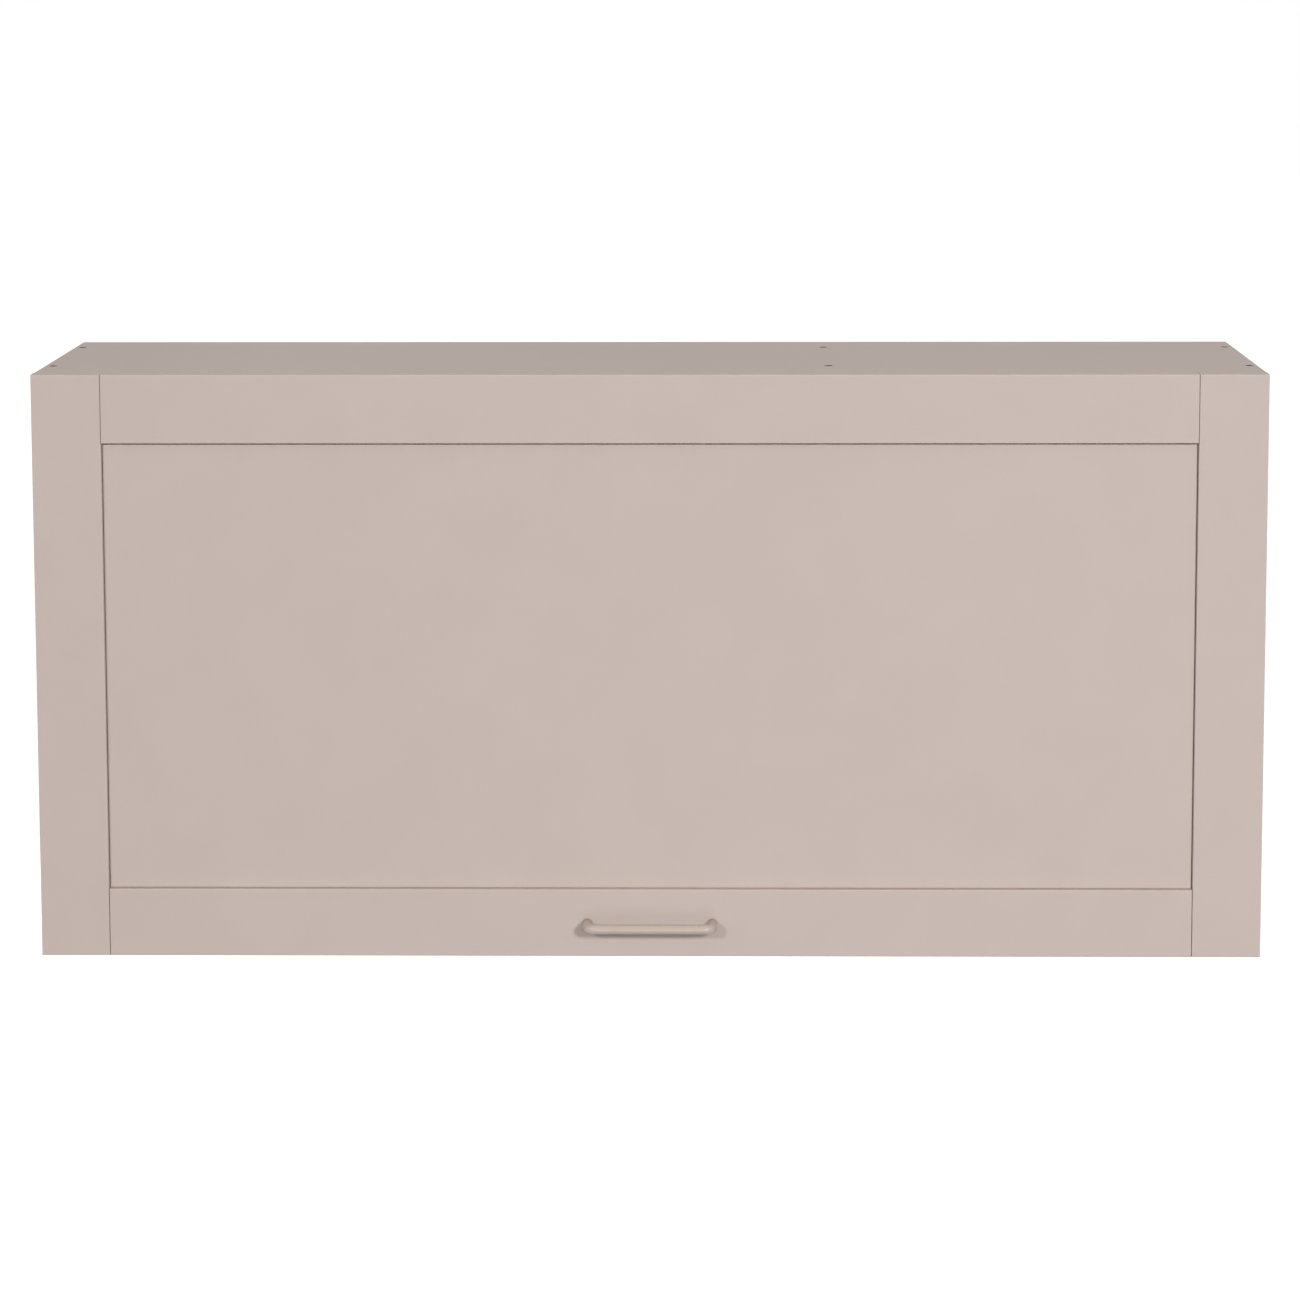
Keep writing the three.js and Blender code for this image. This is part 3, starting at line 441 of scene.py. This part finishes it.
for board, turned in (("top", 0), ("bottom", pi)):
    for column in ("left", "divider", "right"):
        for row in ("front", "back"):
            node = f"{board}_screw_{column}_{row}"
            lowest, highest, spot = corners_of(node)
            spot.z = lowest.z if turned else highest.z
            work = wood_screw(highest.z - lowest.z, (highest.x - lowest.x) / 2)
            skew = DRIVER_TURN[0] * spot.x + DRIVER_TURN[1] * spot.y
            way = Matrix.Rotation(turned, 4, "X") @ Matrix.Rotation(skew, 4, "Z")
            work.transform(Matrix.Translation(spot) @ way)
            piece(work, f"driven_{node}", phosphated, "cabinet", "dark_steel", node)

# ------------------------------------------------------------------ face frame
# Two upright stiles and a rail between them, 25 mm thick, glued to the front of the carcass
# and lacquered with it. The stiles run the whole height, and each holds a zinc-plated steel
# pin on which the flap turns.

ZINC = (0.60, 0.61, 0.62, 1)
ZINC_BLOOM = (0.46, 0.48, 0.51, 1)


def zinc_plated(name, lines, gloss=0.30):
    """Zinc plating on steel that was drawn, rolled or blanked along its lines."""
    values = {"Color": ZINC, "Bloom": ZINC_BLOOM, "Lines": lines, "Gloss": gloss}
    return surface(name, WORN_METAL, values, (0.00002, 0.35), Metallic=0.92)


rail_lowest, rail_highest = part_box("top_rail")
for node in ("stile_left", "stile_right", "top_rail"):
    # A dark line runs down each joint of the stiles and the rail. It is the sunk film there and
    # painted shade of the groove.
    lacquered(node, joint=(rail_highest[0], rail_lowest[2], JOINT_HALF))
turned_zinc = zinc_plated("turned_zinc", (2600, 120, 120))
for side in ("left", "right"):
    coat(f"pivot_pin_{side}", turned_zinc)

# ------------------------------------------------------------------ shelves and their pins
# A loose shelf of lacquered board in each bay. It rests on four zinc-plated pins, which are
# pushed into the rows of holes in the boards beside it.

for node in ("shelf_wide", "shelf_narrow"):
    lacquered(node)
stamped_zinc = zinc_plated("stamped_zinc", (700, 700, 700), gloss=0.36)
for board in ("wide_left", "wide_right", "narrow_left", "narrow_right"):
    for row in ("front", "back"):
        coat(f"shelf_pin_{board}_{row}", stamped_zinc)

# ------------------------------------------------------------------ stay housings
# A packing block of lacquered board at each side brings the stay's steel housing out to the
# edge of the stile. The housing holds the spring, and a moulded cover with a rib over the
# spring is screwed on with it. A screw in the cover's round hole sets the spring's tension.

COVER_GREY = (0.265, 0.272, 0.280, 1)
FLOW_TONE = (0.42, 0.43, 0.44, 1)
GRAIN_TONE = (0.05, 0.05, 0.05, 1)
COVER_THICKNESS = 0.0025
PAN_RADIUS = 0.0034
COVER_HEAD = (PAN_RADIUS, 0.0013, 0.0003)  # a head's radius, its height and its crown
TENSION_HEAD = (0.0036, 0.0012, 0)
# Screws through the cover and the housing, back and up from the arm's pivot
COVER_SCREWS = ((0.107, -0.028), (0.107, 0.012), (-0.010, 0.054))
COVER_TWIST = 0.5  # how much further round each screw of a row stopped than the last
TENSION_SCREW = (0.060, 0.012)
TENSION_DEPTH = 0.0019  # from the cover's face down to the screw's seat
NECK_LENGTH = 0.0022


def moulded_plastic():
    """Plastic from a spark-eroded mould: an even fine grain and a faint flow mark."""
    wants = [("Color", "Color"), ("Grain", "Float")]
    tree, given, gives = effect("moulded plastic", wants, SURFACE)
    at = place(tree, "TexCoord").outputs["Object"]
    grain = noise(tree, at, given["Grain"])
    filled = place(tree, "Mapping", {"Vector": at, "Scale": (30, 9, 30)}).outputs[0]
    streaks = between(tree, noise(tree, filled, scale=1, detail=3), 0.4, 0.7, 0.0, 0.14)
    streaked = tinted(tree, given["Color"], FLOW_TONE, streaks)
    speckled = tinted(tree, streaked, GRAIN_TONE, between(tree, grain, 0.5, 0.75, 0.0, 0.12))
    tree.links.new(speckled, gives["Color"])
    tree.links.new(between(tree, grain, 0.3, 0.7, 0.42, 0.58), gives["Roughness"])
    tree.links.new(grain, gives["Height"])
    return tree


MOULDED = moulded_plastic()
values = {"Color": COVER_GREY, "Grain": 1500}
cover_plastic = surface("cover_plastic", MOULDED, values, (0.00006, 0.5))
pressed_zinc = zinc_plated("pressed_zinc", (60, 900, 60), gloss=0.34)
screw_zinc = zinc_plated("screw_zinc", (800, 800, 800), gloss=0.28)


def towards(axis, sign):
    """The turn that points a screw's head along that axis."""
    if axis == "X":
        return Matrix.Rotation(sign * pi / 2, 4, "Y")
    return Matrix.Rotation(-sign * pi / 2, 4, "X")


def screw_head(radius, height, crown):
    """A pan head with its cross recess and a short neck, its underside at z = 0."""
    work = bmesh.new()
    ring = cross_head(work, radius, crown)
    ring = pull(work, ring, radius, -height * 0.55)
    ring = pull(work, ring, radius * 0.97, -height)
    ring = pull(work, ring, radius * 0.5, -height)
    ring = pull(work, ring, radius * 0.5, -height - NECK_LENGTH)
    bmesh.ops.contextual_create(work, geom=ring)
    bmesh.ops.translate(work, vec=(0, 0, height), verts=work.verts)
    return work


def set_screw(name, body, head, spot, facing, twist=0.0):
    """Sets a pan-head screw on that spot, with its head's sizes and the way that it faces."""
    work = screw_head(*head)
    turn = towards(*facing) @ Matrix.Rotation(twist, 4, "Z")
    work.transform(Matrix.Translation(spot) @ turn)
    piece(work, name, screw_zinc, body, "zinc_steel")


for side, sign in (("left", -1), ("right", 1)):
    lacquered(f"packing_block_{side}")
    coat(f"stay_housing_{side}", pressed_zinc)
    coat(f"stay_cover_{side}", cover_plastic)
    joints = frame["record"]["behaviour"]["joints"]
    pivot = Vector(next(j for j in joints if j["name"] == f"arm_pivot_{side}")["pos_m"])
    lowest, highest, _ = corners_of(f"stay_housing_{side}")
    cover_face = min(abs(lowest.x), abs(highest.x)) - COVER_THICKNESS
    for number, (back, up) in enumerate(COVER_SCREWS, 1):
        name = f"cover_screw_{side}_{number}"
        spot = Vector((sign * cover_face, pivot.y + back, pivot.z + up))
        set_screw(name, "cabinet", COVER_HEAD, spot, ("X", -sign), COVER_TWIST * number)
    back, up = TENSION_SCREW
    spot = Vector((sign * (cover_face + TENSION_DEPTH), pivot.y + back, pivot.z + up))
    set_screw(f"tension_screw_{side}", "cabinet", TENSION_HEAD, spot, ("X", -sign))

# ------------------------------------------------------------------ arms, links and rivets
# The arm's shaft turns in the housing. A link is riveted to the arm's end and runs to the
# flap's bracket. Both are blanked from 3 mm strip and zinc plated, and the rivet's heads are
# turned and left bright.

strip_zinc = zinc_plated("strip_zinc", (120, 900, 140))
bright_zinc = zinc_plated("bright_zinc", (500, 500, 500), gloss=0.20)
for side in ("left", "right"):
    coat(f"stay_arm_{side}", strip_zinc)
    coat(f"stay_link_{side}", strip_zinc)
    coat(f"stay_rivet_{side}", bright_zinc)

# ------------------------------------------------------------------ flap
# A lacquered panel 18 mm thick, whose tongue is glued in a groove of the thicker rail under
# it. The rail's face stands 7 mm proud of the panel and lies flush with the frame. A nylon
# bush in each end of the panel turns on the stile's pin.

for node in ("flap_panel", "flap_rail"):
    lacquered(node)
NYLON = (0.76, 0.74, 0.68, 1)
nylon = surface("bush_nylon", MOULDED, {"Color": NYLON, "Grain": 1100}, (0.00004, 0.4))
for side in ("left", "right"):
    coat(f"pivot_bush_{side}", nylon)

# ------------------------------------------------------------------ handle
# A round steel bar bent square at both ends and powder coated in the cabinet's own colour,
# glossier than the lacquer. Its feet stand on the flap's rail, each held by a pan-head screw
# from behind.

HANDLE_GREIGE = (0.490, 0.398, 0.345, 1)
HANDLE_DEEP = (0.34, 0.27, 0.23, 1)
HANDLE_RUBBED = (0.7, 0.62, 0.56, 1)
HANDLE_SHINE = 0.8  # the specular level of the coat
HANDLE_RADIUS = 0.005
HANDLE_BEND = 0.007
HANDLE_SIDES = 40
BEND_STEPS = 14
FOOT_EASE = 0.0004
HANDLE_PAN_HEIGHT = 0.0024
HANDLE_PAN_CROWN = 0.0003


def powder_coat():
    """Powder coat: glossy, with the slow waves of a film that flowed and set in the oven."""
    tree, given, gives = effect("powder coat", [("Color", "Color")], SURFACE)
    at = place(tree, "TexCoord").outputs["Object"]
    waves = noise(tree, at, scale=380, roughness=0.4)
    tone = between(tree, noise(tree, at, scale=45, detail=3), 0.35, 0.65, 0.0, 0.06)
    rubbed = between(tree, noise(tree, at, scale=120, detail=4), 0.55, 0.75)
    shaded = tinted(tree, given["Color"], HANDLE_DEEP, tone)
    paled = tinted(tree, shaded, HANDLE_RUBBED, maths(tree, "MULTIPLY", rubbed, 0.05))
    tree.links.new(paled, gives["Color"])
    glossy = between(tree, waves, 0.3, 0.7, 0.20, 0.24)
    tree.links.new(maths(tree, "MULTIPLY_ADD", rubbed, 0.06, glossy), gives["Roughness"])
    tree.links.new(waves, gives["Height"])
    return tree


values, shine = {"Color": HANDLE_GREIGE}, {"Specular IOR Level": HANDLE_SHINE}
handle_coat = surface("handle_powder_coat", powder_coat(), values, (0.00005, 0.25), **shine)
lowest, highest, middle = corners_of("handle")
half = (highest.x - lowest.x) / 2 - HANDLE_RADIUS
bar_y, bar_z = lowest.y + HANDLE_RADIUS, middle.z
work = bmesh.new()
foot = Matrix.Translation((-half, highest.y, bar_z)) @ Matrix.Rotation(pi / 2, 4, "X")
bmesh.ops.create_circle(work, segments=HANDLE_SIDES, radius=HANDLE_RADIUS, matrix=foot)
start = work.edges[:]


def straight(work, ring, way):
    """Runs the bar on by that vector, and returns its new end."""
    run = bmesh.ops.extrude_edge_only(work, edges=ring)["geom"]
    moved = [v for v in run if isinstance(v, bmesh.types.BMVert)]
    bmesh.ops.translate(work, vec=way, verts=moved)
    return [e for e in run if isinstance(e, bmesh.types.BMEdge)]


def bent(work, ring, centre):
    """Bends the bar square about that centre, in the plane of the handle."""
    turn = {"cent": centre, "axis": (0, 0, 1), "angle": pi / 2, "steps": BEND_STEPS}
    last = bmesh.ops.spin(work, geom=ring, **turn)["geom_last"]
    return [e for e in last if isinstance(e, bmesh.types.BMEdge)]


leg = Vector((0, bar_y + HANDLE_BEND - highest.y, 0))
ring = straight(work, start, leg)
ring = bent(work, ring, (-half + HANDLE_BEND, bar_y + HANDLE_BEND, bar_z))
ring = straight(work, ring, (2 * (half - HANDLE_BEND), 0, 0))
ring = bent(work, ring, (half - HANDLE_BEND, bar_y + HANDLE_BEND, bar_z))
ring = straight(work, ring, -leg)
for end in (start, ring):
    bmesh.ops.contextual_create(work, geom=end)
bmesh.ops.recalc_face_normals(work, faces=work.faces)
ease = {"offset": FOOT_EASE, "segments": 2, "affect": "EDGES", "profile": 0.5, "material": -1}
bmesh.ops.bevel(work, geom=[*start, *ring], **ease)
piece(work, "bent_handle", handle_coat, "flap", "handle_paint", "handle", sharp=50)

for side in ("left", "right"):
    lowest, highest, spot = corners_of(f"handle_screw_{side}")
    spot.y = highest.y - HANDLE_PAN_CROWN
    length, radius = spot.y - lowest.y, (highest.x - lowest.x) / 2
    work = wood_screw(length, radius, HANDLE_PAN_CROWN, HANDLE_PAN_HEIGHT, countersunk=False)
    work.transform(Matrix.Translation(spot) @ towards("Y", 1))
    piece(work, f"pan_screw_{side}", screw_zinc, "flap", "zinc_steel", f"handle_screw_{side}")

# ------------------------------------------------------------------ flap brackets
# A pressed steel foot on the flap's back with an ear that stands off it. The stay's link
# turns on the pin in the ear. Three short pan-head screws hold the foot to the panel.

BRACKET_HEAD = (PAN_RADIUS, 0.0016, 0.0004)
BRACKET_SCREWS = (-0.022, 0.0, 0.022)  # up from the foot's middle
BRACKET_TWIST = 0.8
BRACKET_SCREW_SIDE = 0.0115  # from the foot's inner edge
BRACKET_PLATE = 0.003

for side, sign in (("left", -1), ("right", 1)):
    node = f"flap_bracket_{side}"
    coat(node, stamped_zinc)
    lowest, highest, middle = corners_of(node)
    inner = min(abs(lowest.x), abs(highest.x)) + BRACKET_SCREW_SIDE
    for number, up in enumerate(BRACKET_SCREWS, 1):
        name = f"bracket_screw_{side}_{number}"
        spot = Vector((sign * inner, lowest.y + BRACKET_PLATE, middle.z + up))
        set_screw(name, "flap", BRACKET_HEAD, spot, ("Y", 1), BRACKET_TWIST * number)

# ------------------------------------------------------------------ bumpers
# Two soft clear pads stuck on the front edge of the bottom board. The flap closes against
# them without a knock.

PAD_CLEAR = (0.70, 0.72, 0.71, 1)
PAD_DUST = (0.5, 0.5, 0.48, 1)
PAD_SEGMENTS = 32
PAD_RINGS = 9  # from the pad's foot to its crown
PAD_FULLNESS = 0.8  # below 1, the pad's sides stand steeper than a dome's


def soft_rubber():
    """Clear rubber with a faint haze and dust on its tacky skin."""
    tree, given, gives = effect("soft rubber", [("Color", "Color")], SURFACE)
    at = place(tree, "TexCoord").outputs["Object"]
    haze = noise(tree, at, scale=260, detail=3)
    dust = between(tree, noise(tree, at, scale=1400), 0.6, 0.75)
    dusted = tinted(tree, given["Color"], PAD_DUST, maths(tree, "MULTIPLY", dust, 0.3))
    tree.links.new(dusted, gives["Color"])
    tree.links.new(between(tree, haze, 0.3, 0.7, 0.25, 0.42), gives["Roughness"])
    tree.links.new(haze, gives["Height"])
    return tree


values, clear = {"Color": PAD_CLEAR}, {"Transmission Weight": 0.6, "IOR": 1.45}
clear_pad = surface("clear_pad", soft_rubber(), values, (0.00005, 0.3), **clear)
for side in ("left", "right"):
    node = f"bumper_{side}"
    lowest, highest, middle = corners_of(node)
    radius, height = (highest.x - lowest.x) / 2, highest.y - lowest.y
    work = bmesh.new()
    bmesh.ops.create_circle(work, cap_ends=True, segments=PAD_SEGMENTS, radius=radius)
    ring = [e for e in work.edges if e.is_boundary]
    for step in range(1, PAD_RINGS):
        lift = radians(90 * step / PAD_RINGS)
        ring = pull(work, ring, radius * cos(lift) ** PAD_FULLNESS, height * sin(lift))
    bmesh.ops.contextual_create(work, geom=ring)
    middle.y = highest.y
    work.transform(Matrix.Translation(middle) @ towards("Y", -1))
    piece(work, f"clear_pad_{side}", clear_pad, "cabinet", "clear_rubber", node, sharp=60)

# ------------------------------------------------------------------ hangers and wall rail
# A steel hanger is screwed to each side behind the back panel's window. Its hook drops behind
# the lip of a folded steel rail that is fixed to the wall, and its two adjusting screws lift
# the cabinet and draw it in.

ADJUSTER_HEAD = (0.0038, 0.0018, 0)
ADJUSTER_DROP = 0.016  # from the hanger's top and bottom
ADJUSTER_SEAT = 0.0026  # behind the hanger's front
HANGER_HEAD = BRACKET_HEAD
HANGER_SIDE_SCREWS = (0.0235, -0.0235)  # up from the hanger's middle
HANGER_SIDE_BACK = 0.017  # behind the hanger's front
HANGER_TWIST = 0.7

rolled_zinc = zinc_plated("rolled_zinc", (25, 700, 700), gloss=0.33)
coat("wall_rail", rolled_zinc)
for side, sign in (("left", -1), ("right", 1)):
    node = f"hanger_{side}"
    coat(node, pressed_zinc)
    lowest, highest, middle = corners_of(node)
    inner_face = sign * min(abs(lowest.x), abs(highest.x))
    for name, z in (("lift", highest.z - ADJUSTER_DROP), ("draw", lowest.z + ADJUSTER_DROP)):
        spot = Vector((middle.x, lowest.y + ADJUSTER_SEAT, z))
        set_screw(f"hanger_{name}_screw_{side}", "cabinet", ADJUSTER_HEAD, spot, ("Y", -1))
    for number, up in enumerate(HANGER_SIDE_SCREWS, 1):
        name = f"hanger_side_screw_{side}_{number}"
        spot = Vector((inner_face, lowest.y + HANGER_SIDE_BACK, middle.z + up))
        set_screw(name, "cabinet", HANGER_HEAD, spot, ("X", -sign), HANGER_TWIST * number)

# ------------------------------------------------------------------ studio
# The cabinet hangs free before a white surround, well above a plain pale floor. A soft lamp
# stands high to the front right, and a second, further off, to the front left. Weaker ones
# above, below, at both sides and behind keep every side plain to see.

FLOOR_DROP = 1.9  # from the rail's middle to the floor
FLOOR_RADIUS = 40
FLOOR_GREY = (0.19, 0.19, 0.19, 1)
FLOOR_SHADE = (0.17, 0.17, 0.168, 1)
FLOOR_GLOW = 0.95  # what makes the floor white to the eye, and lights nothing
SURROUND = 0.42  # how brightly the surround lights the cabinet, where 1 is how it looks
LAMPS_AIM = (0, -0.35, -0.2)
LAMPS = {
    # name: place, size in metres, power in watts
    "key": ((1.6, -4.6, 1.1), 0.7, 98),
    "fill": ((-3.4, -8.0, 2.5), 0.9, 170),
    "overhead": ((0.3, 0.6, 2.8), 2.0, 11),
    "bounce": ((0.3, -3.6, -1.2), 2.0, 16),
    "side_left": ((-5.0, 1.6, -0.4), 1.4, 70),
    "side_right": ((5.0, 1.6, -0.4), 1.4, 70),
    "rear": ((-1.0, 6.5, -0.5), 1.6, 120),
}


def seen_directly(tree):
    """1 for what the camera sees itself or in metal and glass, 0 for light on the object."""
    path = place(tree, "LightPath").outputs
    seen = maths(tree, "MAXIMUM", path["Is Camera Ray"], path["Is Glossy Ray"])
    return maths(tree, "MAXIMUM", seen, path["Is Transmission Ray"])


world = bpy.data.worlds.new("white_surround")
bpy.context.scene.world = world
world.use_nodes = True
tree = world.node_tree
tree.nodes.clear()
strength = between(tree, seen_directly(tree), 0, 1, SURROUND, 1)
backdrop = place(tree, "Background", {"Color": (1, 1, 1, 1), "Strength": strength})
place(tree, "OutputWorld", {"Surface": backdrop.outputs[0]})

pale_floor = bpy.data.materials.new("pale_floor")
pale_floor.use_nodes = True
tree = pale_floor.node_tree
tree.nodes.clear()
grain = noise(tree, place(tree, "TexCoord").outputs["Object"], scale=3, detail=4)
finish = {
    "Base Color": tinted(tree, FLOOR_GREY, FLOOR_SHADE, grain),
    "Roughness": between(tree, grain, 0.3, 0.7, 0.75, 0.85),
    "Emission Color": (1, 1, 1, 1),
    "Emission Strength": maths(tree, "MULTIPLY", seen_directly(tree), FLOOR_GLOW),
}
shader = place(tree, "BsdfPrincipled", finish)
place(tree, "OutputMaterial", {"Surface": shader.outputs[0]})
work = bmesh.new()
down = Matrix.Translation((0, 0, -FLOOR_DROP))
bmesh.ops.create_circle(work, cap_ends=True, segments=96, radius=FLOOR_RADIUS, matrix=down)
floor_mesh = bpy.data.meshes.new("floor")
work.to_mesh(floor_mesh)
work.free()
floor_mesh.materials.append(pale_floor)
floor = bpy.data.objects.new("floor", floor_mesh)
bpy.context.scene.collection.objects.link(floor)

for name, (at, size, power) in LAMPS.items():
    lamp = bpy.data.lights.new(name, "AREA")
    lamp.shape = "DISK"
    lamp.size = size
    lamp.energy = power
    holder = bpy.data.objects.new(name, lamp)
    holder.location = at
    aim = Vector(LAMPS_AIM) - holder.location
    holder.rotation_euler = aim.to_track_quat("-Z", "Y").to_euler()
    bpy.context.scene.collection.objects.link(holder)

# ------------------------------------------------------------------ camera
# A long lens 4.4 m from the wall and 0.4 m above the cabinet's top, turned a little to the left
# and tipped down, so that the top board shows and the sides don't. Its shift keeps the uprights
# nearly parallel.

LENS = 111.84  # on film 36 mm wide
LENS_SHIFT = -0.15
CAMERA_AT = (0.0617, -4.3994, 0.4894)
YAW, PITCH, ROLL = radians(-0.856), radians(7.051), radians(-0.112)

camera = bpy.data.cameras.new("camera")
camera.sensor_width = 36
camera.lens = LENS
camera.shift_y = LENS_SHIFT
camera.clip_end = 200
stand = bpy.data.objects.new("camera", camera)
level = Matrix.Rotation(-YAW, 4, "Z") @ Matrix.Rotation(pi / 2 - PITCH, 4, "X")
stand.matrix_world = Matrix.Translation(CAMERA_AT) @ level @ Matrix.Rotation(ROLL, 4, "Z")
bpy.context.scene.collection.objects.link(stand)
bpy.context.scene.camera = stand
bpy.context.scene.view_settings.view_transform = "Standard"
